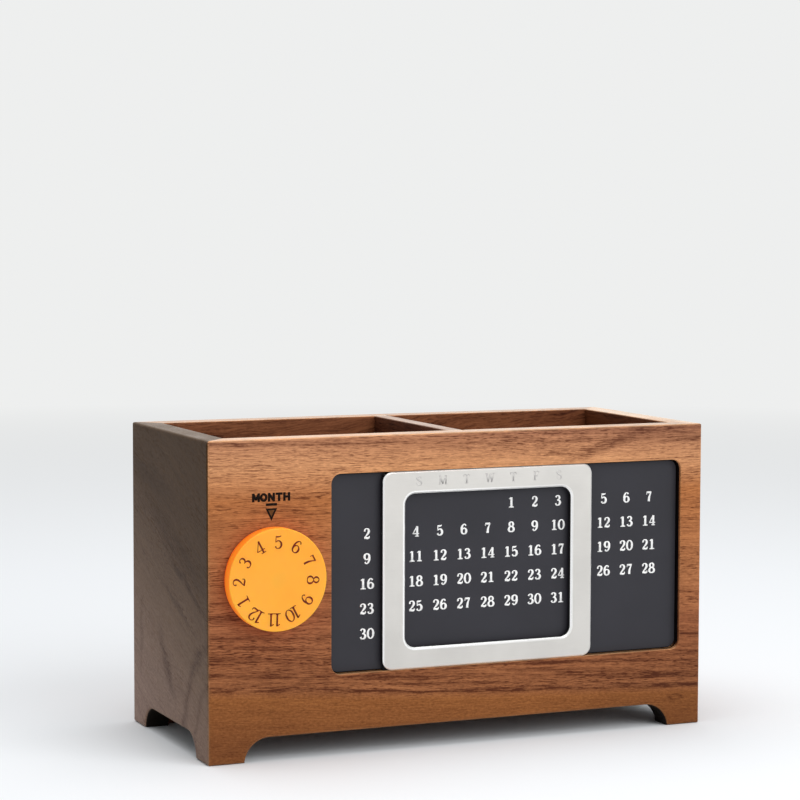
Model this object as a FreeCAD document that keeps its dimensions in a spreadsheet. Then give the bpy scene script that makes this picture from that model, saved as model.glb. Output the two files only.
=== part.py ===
"""A wooden pen box on bracket feet, with a perpetual calendar in its front board.

A metal frame slides along a plate of numbers, and a round dial beside it turns to the month.
Frame: X runs along the front, Y from front to back, Z up. The origin is under the middle of
the whole thing, dial included, on the surface it stands on. Millimetres.
"""
import FreeCAD, Part

import math
import os
import re

import Sketcher
from FreeCAD import Placement, Rotation, Vector

FOLDER = "parts"

SIZES = [
    # Four mitred boards make the box. Each is cut away below, which leaves a foot at each end.
    ("box_width", 200.0),
    ("box_depth", 88.0),
    ("box_height", 116.0),
    ("board_thickness", 9.5),
    ("edge_round", 1.2),
    ("rim_round", 0.6),
    ("foot_width", 14.0),
    ("arch_height", 8.6),
    ("cove_radius", 9.5),
    # The floor lies in a groove all round, and the divider stands in a slot at each end.
    ("floor_level", 12.0),
    ("floor_thickness", 4.0),
    ("groove_depth", 3.0),
    ("divider_thickness", 6.0),
    ("divider_x", 0.0),
    ("dado_depth", 2.5),
    ("joint_gap", 0.05),
    # A loose spline crosses each mitre.
    ("spline_thickness", 2.5),
    ("spline_width", 5.0),
    ("spline_length", 80.0),
    ("spline_level", 22.0),
    ("spline_inset", 5.7),
    # The recess in the front board, with a slot behind its upper and lower edges.
    # It takes the width that the dial and the wood beside them leave, and the frame slides along it.
    ("recess_height", 73.0),
    ("recess_level", 66.0),
    ("recess_margin", 9.2),
    ("recess_corner", 3.6),
    ("recess_ease", 0.4),
    ("lip_thickness", 2.0),
    ("slot_depth", 1.5),
    # The number plate, stuck to the bottom of the recess.
    ("plate_thickness", 1.0),
    ("plate_gap", 0.5),
    ("tape_thickness", 0.2),
    ("tape_inset", 1.5),
    # The sliding frame and what guides it.
    ("slider_width", 85.3),
    ("slider_gap", 0.12),
    ("slider_corner", 3.7),
    ("slider_chamfer", 0.5),
    ("slider_travelled", 20.05),
    ("stop_gap", 0.15),
    ("view_width", 67.8),
    ("view_height", 56.75),
    ("view_drop", 0.22),
    ("view_corner", 4.1),
    ("running_gap", 0.1),
    ("guide_thickness", 0.5),
    ("guide_inset", 0.6),
    ("tongue_height", 1.2),
    ("spring_radius", 8.6),
    ("spring_thickness", 0.4),
    ("spring_angle", 108.0),
    ("spring_x", 26.0),
    ("spring_clearance", 0.3),
    ("glide_length", 76.0),
    ("glide_width", 3.5),
    ("glide_thickness", 0.3),
    ("glide_inset", 0.5),
    # The month dial and the shaft it turns on.
    ("dial_margin", 5.9),
    ("dial_gap", 4.3),
    ("dial_level", 66.3),
    ("dial_radius", 18.5),
    ("dial_thickness", 5.3),
    ("dial_round", 0.4),
    ("felt_radius", 9.0),
    ("felt_bore_radius", 3.6),
    ("felt_thickness", 0.6),
    ("shaft_radius", 2.0),
    ("shaft_clearance", 0.05),
    ("fit_gap", 0.02),
    ("bushing_radius", 3.0),
    ("flange_radius", 5.0),
    ("flange_thickness", 0.8),
    ("counterbore_radius", 5.8),
    ("dished_radius", 4.4),
    ("dished_thickness", 0.3),
    ("dished_height", 0.6),
    ("washer_radius", 4.6),
    ("washer_thickness", 0.5),
    ("washer_clearance", 0.15),
    ("head_radius", 3.6),
    ("head_height", 1.8),
    ("head_sink", 0.45),
    ("cross_span", 3.6),
    ("cross_width", 0.8),
    ("cross_depth", 1.0),
    ("thread_radius", 1.5),
    ("thread_length", 3.6),
    ("insert_radius", 2.6),
    ("insert_length", 4.0),
    # How far a cutting outline runs past the wood it cuts.
    ("overrun", 1.0),
]

# Sizes and places that follow from them.
RECESS_WIDTH = "(box_width - dial_margin - 2 * dial_radius - dial_gap - recess_margin)"
SLIDER_TRAVEL = f"({RECESS_WIDTH} - slider_width - 2 * stop_gap)"
RECESS_X = f"(box_width / 2 - recess_margin - {RECESS_WIDTH} / 2)"
DIAL_X = "(dial_margin + dial_radius - box_width / 2)"
DIAL_BACK = "(running_gap + felt_thickness)"
DIAL_FACE = f"({DIAL_BACK} + dial_thickness)"
FRONT_Y = f"({DIAL_FACE} - box_depth) / 2"
BACK_Y = f"({DIAL_FACE} + box_depth) / 2"
MIDDLE_Y = f"{DIAL_FACE} / 2"
FLOOR_TOP = "(floor_level + floor_thickness)"
GUIDE_DEPTH = "(lip_thickness + running_gap)"
GLIDE_DEPTH = f"({GUIDE_DEPTH} + guide_thickness)"
PLATE_DEPTH = f"({GLIDE_DEPTH} + glide_thickness + running_gap)"
TAPE_DEPTH = f"({PLATE_DEPTH} + plate_thickness)"
RECESS_DEPTH = f"({TAPE_DEPTH} + tape_thickness)"
SLIDER_X = f"({RECESS_X} - {SLIDER_TRAVEL} / 2 + slider_travelled)"
SLIDER_HEIGHT = "(recess_height - 2 * slider_gap)"
WASHER_STACK = "(flange_thickness + dished_height + joint_gap + washer_thickness)"
COUNTERBORE_DEPTH = f"({WASHER_STACK} + head_height + head_sink)"
SEAT_Z = f"({COUNTERBORE_DEPTH} - board_thickness)"

document = FreeCAD.newDocument("calendar_pen_box")
sheet = document.addObject("Spreadsheet::Sheet", "Sizes")
ALIASES = re.compile(r"\b(%s)\b" % "|".join(alias for alias, size in SIZES))


def fill_sheet():
    for row, (alias, size) in enumerate(SIZES, 1):
        sheet.set(f"A{row}", alias)
        sheet.set(f"B{row}", str(size))
        sheet.setAlias(f"B{row}", alias)
    document.recompute()


# ---- expressions, sketches and features ----

def spelt(expression):
    """An expression with the sheet's name in front of each alias."""
    return ALIASES.sub(r"Sizes.\1", expression)


def value(expression):
    return float(sheet.evalExpression(spelt(expression)))


def bind(item, name, expression):
    item.setExpression(name, spelt(expression))


def bind_base(item, name, x, y, z):
    for axis, expression in zip("xyz", (x, y, z)):
        bind(item, f"{name}.Base.{axis}", expression)


def new_body(label, x, y, z, turn=None):
    body = document.addObject("PartDesign::Body", label)
    body.Label = label
    body.Placement = Placement(Vector(), turn or Rotation())
    bind_base(body, "Placement", x, y, z)
    return body


def new_sketch(body, plane, x="0", y="0", lift="0", angle=0):
    """A sketch on one of the body's own planes, moved by x and y in it and by lift off it."""
    sketch = body.newObject("Sketcher::SketchObject", f"{body.Name}_sketch")
    support = [feature for feature in body.Origin.OriginFeatures if feature.Role == plane]
    sketch.AttachmentSupport = [(support[0], "")]
    sketch.MapMode = "FlatFace"
    sketch.AttachmentOffset = Placement(Vector(), Rotation(Vector(0, 0, 1), angle))
    bind_base(sketch, "AttachmentOffset", x, y, lift)
    return sketch


def constrain(sketch, kind, *arguments, to=None):
    """Add a constraint, and bind its size when it has one."""
    if to is None:
        return sketch.addConstraint(Sketcher.Constraint(kind, *arguments))
    number = sketch.addConstraint(Sketcher.Constraint(kind, *arguments, value(to)))
    bind(sketch, f"Constraints[{number}]", to)
    return number


def add_line(sketch, start, end):
    return sketch.addGeometry(Part.LineSegment(Vector(*start, 0), Vector(*end, 0)))


def add_arc(sketch, centre, radius, start, end):
    circle = Part.Circle(Vector(*centre, 0), Vector(0, 0, 1), radius)
    return sketch.addGeometry(Part.ArcOfCircle(circle, math.radians(start), math.radians(end)))


def draw_circle(sketch, radius):
    circle = sketch.addGeometry(Part.Circle(Vector(), Vector(0, 0, 1), value(radius)))
    constrain(sketch, "Coincident", circle, 3, -1, 1)
    constrain(sketch, "Radius", circle, to=radius)


def draw_polygon(sketch, corners):
    """A closed outline through corners given as pairs of expressions."""
    points = [(value(x), value(y)) for x, y in corners]
    lines = [add_line(sketch, a, b) for a, b in zip(points, points[1:] + points[:1])]
    for line, following in zip(lines, lines[1:] + lines[:1]):
        constrain(sketch, "Coincident", line, 2, following, 1)
    for line, (x, y) in zip(lines, corners):
        constrain(sketch, "DistanceX", -1, 1, line, 1, to=x)
        constrain(sketch, "DistanceY", -1, 1, line, 1, to=y)


def draw_rectangle(sketch, width, height):
    """A rectangle about the sketch's origin."""
    x, y = f"({width}) / 2", f"({height}) / 2"
    draw_polygon(sketch, [(f"-({x})", f"-({y})"), (x, f"-({y})"), (x, y), (f"-({x})", y)])


def draw_rounded_rectangle(sketch, width, height, corner):
    """A rectangle with round corners about the sketch's origin."""
    radius = value(corner)
    x, y = value(width) / 2, value(height) / 2
    inner_x, inner_y = x - radius, y - radius
    bottom = add_line(sketch, (-inner_x, -y), (inner_x, -y))
    right = add_line(sketch, (x, -inner_y), (x, inner_y))
    top = add_line(sketch, (inner_x, y), (-inner_x, y))
    left = add_line(sketch, (-x, inner_y), (-x, -inner_y))
    centres = [(inner_x, -inner_y), (inner_x, inner_y), (-inner_x, inner_y), (-inner_x, -inner_y)]
    arcs = [add_arc(sketch, centre, radius, 90 * turn - 90, 90 * turn)
            for turn, centre in enumerate(centres)]
    for before, arc, after in zip((bottom, right, top, left), arcs, (right, top, left, bottom)):
        constrain(sketch, "Tangent", before, 2, arc, 1)
        constrain(sketch, "Tangent", arc, 2, after, 1)
    for line in (bottom, top):
        constrain(sketch, "Horizontal", line)
    for line in (left, right):
        constrain(sketch, "Vertical", line)
    for arc in arcs[1:]:
        constrain(sketch, "Equal", arcs[0], arc)
    constrain(sketch, "Symmetric", arcs[1], 3, arcs[3], 3, -1, 1)
    constrain(sketch, "Radius", arcs[0], to=corner)
    constrain(sketch, "DistanceX", left, 1, right, 1, to=width)
    constrain(sketch, "DistanceY", bottom, 1, top, 1, to=height)


def pad(body, sketch, length, reverse=False):
    feature = body.newObject("PartDesign::Pad", f"{body.Name}_pad")
    feature.Profile = sketch
    feature.Reversed = reverse
    bind(feature, "Length", length)
    document.recompute()


def pocket(body, sketch, length=None, reverse=False, both_ways=False):
    """Cut the sketch into the body, through everything when no length is given."""
    before = body.Shape.Volume
    feature = body.newObject("PartDesign::Pocket", f"{body.Name}_pocket")
    feature.Profile = sketch
    feature.Reversed = reverse
    if both_ways:
        feature.SideType = "Symmetric"
    if length is None:
        feature.Type = "ThroughAll"
    else:
        bind(feature, "Length", length)
    document.recompute()
    if not body.Shape.Volume < before:
        raise ValueError(f"{feature.Name} cuts nothing")
    return feature


def turn_profile(body, corners):
    """Revolve a closed outline of radii and heights about the body's own Z axis."""
    sketch = new_sketch(body, "XZ_Plane")
    draw_polygon(sketch, corners)
    feature = body.newObject("PartDesign::Revolution", f"{body.Name}_revolution")
    feature.Profile = sketch
    feature.ReferenceAxis = (sketch, ["V_Axis"])
    feature.Angle = 360
    document.recompute()


def edges_at(shape, axis, place, *more):
    """Names of the edges that lie wholly in the plane where the axis is at the place."""
    wanted = [(axis, place)] + list(zip(more[::2], more[1::2]))
    names = []
    for number, edge in enumerate(shape.Edges, 1):
        box = edge.BoundBox
        spans = [(getattr(box, f"{name}Min"), getattr(box, f"{name}Max")) for name, where in wanted]
        levels = [value(where) for name, where in wanted]
        if all(max(abs(low - level), abs(high - level)) < 0.001
               for (low, high), level in zip(spans, levels)):
            names.append(f"Edge{number}")
    return names


def dress(body, kind, size, edges):
    """Round (Fillet, Radius) or bevel (Chamfer, Size) the named edges of the body's last feature."""
    base = body.Tip
    feature = body.newObject(f"PartDesign::{kind}", f"{body.Name}_{kind.lower()}")
    feature.Base = (base, edges)
    bind(feature, "Radius" if kind == "Fillet" else "Size", size)
    document.recompute()


def mirror_in_x(body, features):
    """Repeat features on the other side of the body's own YZ plane."""
    mirrored = body.newObject("PartDesign::Mirrored", f"{body.Name}_mirrored")
    mirrored.Originals = features
    plane = [feature for feature in body.Origin.OriginFeatures if feature.Role == "YZ_Plane"]
    mirrored.MirrorPlane = (plane[0], [""])
    body.Tip = mirrored
    document.recompute()


def group(label, members):
    compound = document.addObject("Part::Compound", label)
    compound.Label = label
    compound.Links = members
    document.recompute()
    return compound


# ---- the box ----

def draw_footed_outline(sketch, length):
    """A board's outline: feet at both ends, and between them an arch that ends in two coves."""
    half, foot = value(length) / 2, value("foot_width")
    arch, radius, height = value("arch_height"), value("cove_radius"), value("box_height")
    reach = math.sqrt(2 * radius * arch - arch ** 2)
    inner, crown = half - foot, half - foot - reach
    tilt = math.degrees(math.asin((radius - arch) / radius))
    left_foot = add_line(sketch, (-half, 0), (-inner, 0))
    left_cove = add_arc(sketch, (-crown, arch - radius), radius, 90, 180 - tilt)
    arch_line = add_line(sketch, (-crown, arch), (crown, arch))
    right_cove = add_arc(sketch, (crown, arch - radius), radius, tilt, 90)
    right_foot = add_line(sketch, (inner, 0), (half, 0))
    right_side = add_line(sketch, (half, 0), (half, height))
    top = add_line(sketch, (half, height), (-half, height))
    left_side = add_line(sketch, (-half, height), (-half, 0))
    constrain(sketch, "Coincident", left_foot, 2, left_cove, 2)
    constrain(sketch, "Tangent", left_cove, 1, arch_line, 1)
    constrain(sketch, "Tangent", arch_line, 2, right_cove, 2)
    constrain(sketch, "Coincident", right_cove, 1, right_foot, 1)
    loop = (right_foot, right_side, top, left_side, left_foot)
    for line, following in zip(loop, loop[1:]):
        constrain(sketch, "Coincident", line, 2, following, 1)
    for line in (left_foot, arch_line, right_foot, top):
        constrain(sketch, "Horizontal", line)
    for line in (left_side, right_side):
        constrain(sketch, "Vertical", line)
    constrain(sketch, "Equal", left_cove, right_cove)
    constrain(sketch, "Symmetric", left_foot, 1, right_foot, 2, -1, 1)
    constrain(sketch, "PointOnObject", right_foot, 2, -1)
    constrain(sketch, "Radius", left_cove, to="cove_radius")
    for foot_line in (left_foot, right_foot):
        constrain(sketch, "DistanceX", foot_line, 1, foot_line, 2, to="foot_width")
    constrain(sketch, "DistanceX", top, 2, top, 1, to=length)
    constrain(sketch, "DistanceY", right_side, 1, right_side, 2, to="box_height")
    constrain(sketch, "DistanceY", -1, 1, arch_line, 1, to="arch_height")


def cut_mitres(body, length):
    """Cut both ends to 45 degrees and slot them for the splines."""
    mitre = new_sketch(body, "XY_Plane", x=f"{length} / 2")
    beyond = "board_thickness + overrun"
    draw_polygon(mitre, [("overrun", "-overrun"), ("overrun", beyond), (f"-({beyond})", beyond)])
    mitre_cut = pocket(body, mitre, reverse=True)
    slot = new_sketch(body, "XY_Plane", x=f"{length} / 2 - spline_inset", y="spline_inset",
                      lift="spline_level", angle=45)
    draw_rectangle(slot, "spline_width + 2 * joint_gap", "spline_thickness + 2 * joint_gap")
    slot_cut = pocket(body, slot, "spline_length", reverse=True)
    mirror_in_x(body, [mitre_cut, slot_cut])


def make_board(label, length, x, y, angle):
    """A board of the box. Its outer face is its own XZ plane, and its Y axis points inwards."""
    body = new_body(label, x, y, "0", Rotation(Vector(0, 0, 1), angle))
    outline = new_sketch(body, "XZ_Plane")
    draw_footed_outline(outline, length)
    pad(body, outline, "board_thickness", reverse=True)
    dress(body, "Fillet", "edge_round", edges_at(body.Tip.Shape, "Y", "0"))
    rim = edges_at(body.Tip.Shape, "Y", "board_thickness", "Z", "box_height")
    dress(body, "Fillet", "rim_round", rim)
    groove = new_sketch(body, "YZ_Plane", x="board_thickness",
                        y="floor_level + (floor_thickness + joint_gap) / 2")
    draw_rectangle(groove, "2 * groove_depth", "floor_thickness + joint_gap")
    pocket(body, groove, both_ways=True)
    cut_mitres(body, length)
    return body


def cut_dado(body, x):
    """The slot that holds one end of the divider, from the floor up through the rim."""
    height = f"box_height - {FLOOR_TOP} + overrun"
    dado = new_sketch(body, "XZ_Plane", x=x, y=f"{FLOOR_TOP} + ({height}) / 2",
                      lift="dado_depth - board_thickness")
    draw_rectangle(dado, "divider_thickness + 2 * joint_gap", height)
    pocket(body, dado)


def make_floor():
    body = new_body("floor_board", "0", MIDDLE_Y, "floor_level")
    outline = new_sketch(body, "XY_Plane")
    inset = "2 * (board_thickness - groove_depth + joint_gap)"
    draw_rectangle(outline, f"box_width - {inset}", f"box_depth - {inset}")
    pad(body, outline, "floor_thickness")
    return body


def make_divider():
    body = new_body("divider", "divider_x", MIDDLE_Y, FLOOR_TOP)
    outline = new_sketch(body, "XY_Plane")
    inset = "2 * (board_thickness - dado_depth + joint_gap)"
    draw_rectangle(outline, "divider_thickness", f"box_depth - {inset}")
    pad(body, outline, f"box_height - {FLOOR_TOP}")
    half = "divider_thickness / 2"
    height = f"box_height - {FLOOR_TOP}"
    shape = body.Tip.Shape
    edges = edges_at(shape, "X", half, "Z", height) + edges_at(shape, "X", f"-{half}", "Z", height)
    dress(body, "Fillet", "rim_round", edges)
    return body


def make_splines():
    splines = []
    for side in (-1, 1):
        for end in (-1, 1):
            body = new_body("corner_spline", f"{side} * (box_width / 2 - spline_inset)",
                            f"{MIDDLE_Y} + {end} * (box_depth / 2 - spline_inset)",
                            "spline_level", Rotation(Vector(0, 0, 1), -45 * side * end))
            outline = new_sketch(body, "XY_Plane")
            draw_rectangle(outline, "spline_width", "spline_thickness")
            pad(body, outline, "spline_length - joint_gap")
            splines.append(body)
    return group("corner_splines", splines)


def make_front():
    """The front board, with the calendar's recess and the dial's bore cut in it."""
    body = make_board("front_panel", "box_width", "0", FRONT_Y, 0)
    recess = new_sketch(body, "XZ_Plane", x=RECESS_X, y="recess_level")
    draw_rounded_rectangle(recess, RECESS_WIDTH, "recess_height", "recess_corner")
    before = len(edges_at(body.Tip.Shape, "Y", "0"))
    pocket(body, recess, RECESS_DEPTH)
    dress(body, "Fillet", "recess_ease", edges_at(body.Tip.Shape, "Y", "0")[before:])
    slot = new_sketch(body, "XZ_Plane", x=RECESS_X, y="recess_level", lift="-lip_thickness")
    draw_rectangle(slot, RECESS_WIDTH, "recess_height + 2 * slot_depth")
    pocket(body, slot, f"{PLATE_DEPTH} - lip_thickness")
    bore = new_sketch(body, "XZ_Plane", x=DIAL_X, y="dial_level")
    draw_circle(bore, "bushing_radius + fit_gap")
    pocket(body, bore)
    counterbore = new_sketch(body, "XZ_Plane", x=DIAL_X, y="dial_level", lift=SEAT_Z)
    draw_circle(counterbore, "counterbore_radius")
    pocket(body, counterbore)
    cut_dado(body, "divider_x")
    return body


def make_back():
    body = make_board("back_panel", "box_width", "0", BACK_Y, 180)
    cut_dado(body, "-divider_x")
    return body


# ---- the calendar ----

def new_recess_body(label, x, depth):
    """A body in the calendar's recess, its front face that depth below the wood's."""
    return new_body(label, x, f"{FRONT_Y} + {depth}", "recess_level")


def make_plate():
    body = new_recess_body("calendar_plate", RECESS_X, PLATE_DEPTH)
    outline = new_sketch(body, "XZ_Plane")
    draw_rounded_rectangle(outline, f"{RECESS_WIDTH} - 2 * plate_gap",
                           "recess_height - 2 * plate_gap", "recess_corner - plate_gap")
    pad(body, outline, "plate_thickness", reverse=True)
    return body


def make_tape():
    body = new_recess_body("adhesive_sheet", RECESS_X, TAPE_DEPTH)
    outline = new_sketch(body, "XZ_Plane")
    inset = "2 * (plate_gap + tape_inset)"
    draw_rectangle(outline, f"{RECESS_WIDTH} - {inset}", f"recess_height - {inset}")
    pad(body, outline, "tape_thickness", reverse=True)
    return body


def make_bezel():
    """The metal frame that slides: bevelled along its outer edge and round its window."""
    body = new_recess_body("slider_bezel", SLIDER_X, "0")
    outline = new_sketch(body, "XZ_Plane")
    draw_rounded_rectangle(outline, "slider_width", SLIDER_HEIGHT, "slider_corner")
    pad(body, outline, GUIDE_DEPTH, reverse=True)
    window = new_sketch(body, "XZ_Plane", y="-view_drop")
    draw_rounded_rectangle(window, "view_width", "view_height", "view_corner")
    pocket(body, window)
    dress(body, "Chamfer", "slider_chamfer", edges_at(body.Tip.Shape, "Y", "0"))
    return body


# The springs' crowns stand as high above the recess's edge as the tongue reaches below it,
# less the clearance that lets them pass along the slot.
SPRING_CROWN = "(recess_height / 2 + slot_depth - spring_clearance)"
SPRING_CENTRE = f"({SPRING_CROWN} - spring_radius - spring_thickness / 2)"
SPRING_FOOT = (f"({SPRING_CENTRE} + (spring_radius - spring_thickness / 2)"
               " * cos(spring_angle * 1 deg / 2))")
SPRING_SPAN = "(2 * (spring_radius + spring_thickness / 2) * sin(spring_angle * 1 deg / 2))"


def make_guide():
    """The thin plate behind the bezel. Its tongue runs in the slot below the recess."""
    body = new_recess_body("slider_guide_plate", SLIDER_X, GUIDE_DEPTH)
    half = "(slider_width / 2 - guide_inset)"
    top = f"({SLIDER_HEIGHT} / 2 - guide_inset)"
    bottom = "-(recess_height / 2 + tongue_height)"
    outline = new_sketch(body, "XZ_Plane")
    draw_polygon(outline, [(f"-{half}", bottom), (half, bottom), (half, top), (f"-{half}", top)])
    pad(body, outline, "guide_thickness", reverse=True)
    window = new_sketch(body, "XZ_Plane", y="-view_drop")
    draw_rounded_rectangle(window, "view_width + 2 * guide_inset", "view_height + 2 * guide_inset",
                           "view_corner")
    pocket(body, window)
    notch_floor = f"({SPRING_FOOT} - joint_gap)"
    notch_top = f"({top} + overrun)"
    notch = new_sketch(body, "XZ_Plane", x="spring_x", y=f"({notch_floor} + {notch_top}) / 2")
    draw_rectangle(notch, f"{SPRING_SPAN} + 2 * spring_clearance", f"{notch_top} - {notch_floor}")
    mirror_in_x(body, [pocket(body, notch)])
    return body


def make_spring(side):
    """An arched leaf in a notch of the guide plate. It presses up into the slot."""
    leaf = []
    for name, sign in (("outer", "+"), ("inner", "-")):
        cylinder = document.addObject("Part::Cylinder", f"spring_{name}")
        bind(cylinder, "Radius", f"spring_radius {sign} spring_thickness / 2")
        bind(cylinder, "Height", "guide_thickness")
        cylinder.Placement = Placement(Vector(), Rotation(Vector(1, 0, 0), 90))
        bind_base(cylinder, "Placement", f"{SLIDER_X} + {side} * spring_x",
                  f"{FRONT_Y} + {GLIDE_DEPTH}", f"recess_level + {SPRING_CENTRE}")
        leaf.append(cylinder)
    outer, inner = leaf
    bind(outer, "Angle", "spring_angle")
    start = 90 - value("spring_angle") / 2
    outer.Placement.Rotation = Rotation(Vector(1, 0, 0), 90) * Rotation(Vector(0, 0, 1), start)
    cut = document.addObject("Part::Cut", "slider_spring")
    cut.Base = outer
    cut.Tool = inner
    return cut


def make_glides():
    """Two felt strips on the guide plate's back, which keep metal off the numbers."""
    strips = []
    for side in (-1, 1):
        body = new_body("glide_strip", SLIDER_X, f"{FRONT_Y} + {GLIDE_DEPTH}",
                        f"recess_level - view_drop + {side} * (view_height / 2 + guide_inset"
                        " + glide_inset + glide_width / 2)")
        outline = new_sketch(body, "XZ_Plane")
        draw_rectangle(outline, "glide_length", "glide_width")
        pad(body, outline, "glide_thickness", reverse=True)
        strips.append(body)
    return group("glide_strips", strips)


# ---- the month dial ----

def new_turned_body(label, corners):
    """A turned piece on the dial's axis, with height 0 at the wood's face and + forwards."""
    body = new_body(label, DIAL_X, FRONT_Y, "dial_level", Rotation(Vector(1, 0, 0), 90))
    turn_profile(body, corners)
    return body


def ring(inner, outer, low, high):
    return [(inner, low), (outer, low), (outer, high), (inner, high)]


def make_dial():
    bore, bottom = "insert_radius + fit_gap", f"{DIAL_BACK} + insert_length + joint_gap"
    body = new_turned_body("month_dial", [
        (bore, DIAL_BACK), ("dial_radius", DIAL_BACK), ("dial_radius", DIAL_FACE),
        ("0", DIAL_FACE), ("0", bottom), (bore, bottom)])
    rims = [name for level in (DIAL_BACK, DIAL_FACE)
            for name in edges_at(body.Tip.Shape, "Z", level)
            if body.Tip.Shape.getElement(name).BoundBox.XMax > value(bore) + 0.001]
    dress(body, "Fillet", "dial_round", rims)
    return body


def make_shaft_pieces():
    """What the dial turns on, from the felt behind it to the screw inside the box."""
    flange_back = f"({SEAT_Z} - flange_thickness)"
    dished_back = f"({flange_back} - dished_height)"
    washer_front = f"({dished_back} - joint_gap)"
    washer_back = f"({washer_front} - washer_thickness)"
    head_back = f"({washer_back} - head_height)"
    shaft_bore = "shaft_radius + shaft_clearance"
    washer_bore = "shaft_radius + washer_clearance"
    felt = new_turned_body("felt_washer", ring("felt_bore_radius", "felt_radius",
                                               "running_gap", DIAL_BACK))
    insert = new_turned_body("dial_insert", ring("thread_radius + fit_gap", "insert_radius",
                                                 DIAL_BACK, f"{DIAL_BACK} + insert_length"))
    bushing = new_turned_body("dial_bushing", [
        (shaft_bore, flange_back), ("flange_radius", flange_back), ("flange_radius", SEAT_Z),
        ("bushing_radius", SEAT_Z), ("bushing_radius", "0"), (shaft_bore, "0")])
    dished = new_turned_body("dished_washer", [
        (washer_bore, dished_back), (washer_bore, f"{dished_back} + dished_thickness"),
        ("dished_radius", flange_back), ("dished_radius", f"{flange_back} - dished_thickness")])
    washer = new_turned_body("flat_washer", ring("shaft_radius + fit_gap", "washer_radius",
                                                 washer_back, washer_front))
    screw = new_turned_body("dial_screw", [
        ("0", head_back), ("head_radius", head_back), ("head_radius", washer_back),
        ("shaft_radius", washer_back), ("shaft_radius", DIAL_BACK), ("thread_radius", DIAL_BACK),
        ("thread_radius", f"{DIAL_BACK} + thread_length"), ("0", f"{DIAL_BACK} + thread_length")])
    for angle in (0, 90):
        arm = new_sketch(screw, "XY_Plane", lift=head_back, angle=angle)
        draw_rectangle(arm, "cross_span", "cross_width")
        pocket(screw, arm, "cross_depth", reverse=True)
    return [felt, insert, bushing, dished, washer, screw]


def check_document():
    for item in document.Objects:
        if "Invalid" in item.State or "Error" in item.State:
            raise RuntimeError(f"{item.Name} is {item.State}")


def export(nodes):
    os.makedirs(FOLDER, exist_ok=True)
    for node in nodes:
        if node.Shape.isNull() or not node.Shape.isValid():
            raise RuntimeError(f"{node.Label} has no valid shape")
    for node in nodes:
        node.Shape.exportStep(os.path.join(FOLDER, f"{node.Label}.step"))
        print(f"{node.Label}: {len(node.Shape.Solids)} solid(s), {node.Shape.Volume:.1f} mm3")


fill_sheet()
box = [
    make_front(),
    make_back(),
    make_board("left_end_panel", "box_depth", "-box_width / 2", MIDDLE_Y, -90),
    make_board("right_end_panel", "box_depth", "box_width / 2", MIDDLE_Y, 90),
    make_floor(),
    make_divider(),
    make_splines(),
]
calendar = [
    make_plate(),
    make_tape(),
    make_bezel(),
    make_guide(),
    group("slider_springs", [make_spring(side) for side in (-1, 1)]),
    make_glides(),
]
dial = [make_dial()] + make_shaft_pieces()
document.recompute()
check_document()
export(box + calendar + dial)
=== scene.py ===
"""Looks for a walnut pen box with a sliding steel frame, a plate of day numbers and a month dial."""
import math

import bpy
from mathutils import Matrix, Vector


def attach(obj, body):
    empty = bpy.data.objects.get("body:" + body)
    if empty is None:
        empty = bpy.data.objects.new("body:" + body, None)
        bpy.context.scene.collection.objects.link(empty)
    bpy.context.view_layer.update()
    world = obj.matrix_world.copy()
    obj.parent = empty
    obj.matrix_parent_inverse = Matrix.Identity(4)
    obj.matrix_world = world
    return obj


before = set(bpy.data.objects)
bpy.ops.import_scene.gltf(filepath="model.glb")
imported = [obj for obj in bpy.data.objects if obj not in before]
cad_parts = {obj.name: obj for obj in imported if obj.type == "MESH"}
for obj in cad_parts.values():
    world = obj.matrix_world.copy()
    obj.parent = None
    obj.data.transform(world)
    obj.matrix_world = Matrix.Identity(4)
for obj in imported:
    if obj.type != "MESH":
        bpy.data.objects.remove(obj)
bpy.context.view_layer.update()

MM = 0.001

# Places and sizes are in millimetres. A face is the level along Y of a front surface.
WOOD_FACE = -41.0
PLATE_FACE = -38.0
DIAL_FACE = -47.0
DIAL_CENTRE = (-75.6, 66.3)
# Middle and half size of the recess, with 0.3 more all round, and of the frame's window.
RECESS_MIDDLE = (19.0, 66.0)
RECESS_HALF = (72.1, 36.8)
WINDOW_MIDDLE = (10.05, 65.78)
WINDOW_HALF = (33.9, 28.38)
WINDOW_CORNER = 4.1
# Distances from the box's middle where the shade of its inside starts, and where it is full.
BOX_MIDDLE = (0.0, 3.0)
INSIDE_X = (90.7, 90.55)
INSIDE_Y = (34.75, 34.6)
# Heights between which the cut arches turn from plain to a near-black painted shade.
ARCH_TOP = (11.5, 10.5)

# The day numbers' grid: its first place, its steps and counts, how its rows fall to the right
# about a level place, and the column of day one in the top row.
FIRST_COLUMN = -37.85
COLUMN_PITCH = 9.71
COLUMNS = 13
FIRST_ROW = 88.9
ROW_PITCH = 9.18
ROWS = 6
ROW_FALL = 0.0055
LEVEL_PLACE = 5
DAY_ONE_COLUMN = 6
# The weekdays' letters.
FIRST_WEEKDAY = -18.4
WEEKDAY_PITCH = 9.53
WEEKDAY_LEVEL = 98.75
# The ring of month numbers: its middle, its half width and height, how far it leans across and
# up, its turn and the step between months in degrees, and the month under the pointer.
NUMBER_MIDDLE = (DIAL_CENTRE[0] - 0.74, DIAL_CENTRE[1] - 0.32)
NUMBER_RING = (14.0, 13.85)
NUMBER_LEAN = (0.35, 0.2)
NUMBER_TURN = 2.2
MONTH_STEP = 30
SHOWN_MONTH = 5
# The marks over the dial: their places, and the sizes of the pointer's two parts.
WORD_PLACE = (DIAL_CENTRE[0] - 0.33, 95.25)
BAR_PLACE = (DIAL_CENTRE[0] - 0.35, 92.63)
BAR_SIZE = (4.3, 0.95)
HEAD_PLACE = (DIAL_CENTRE[0] - 0.35, 89.76)
HEAD_SIZE = (4.45, 4.55)
HEAD_LINE = 0.66
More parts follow.
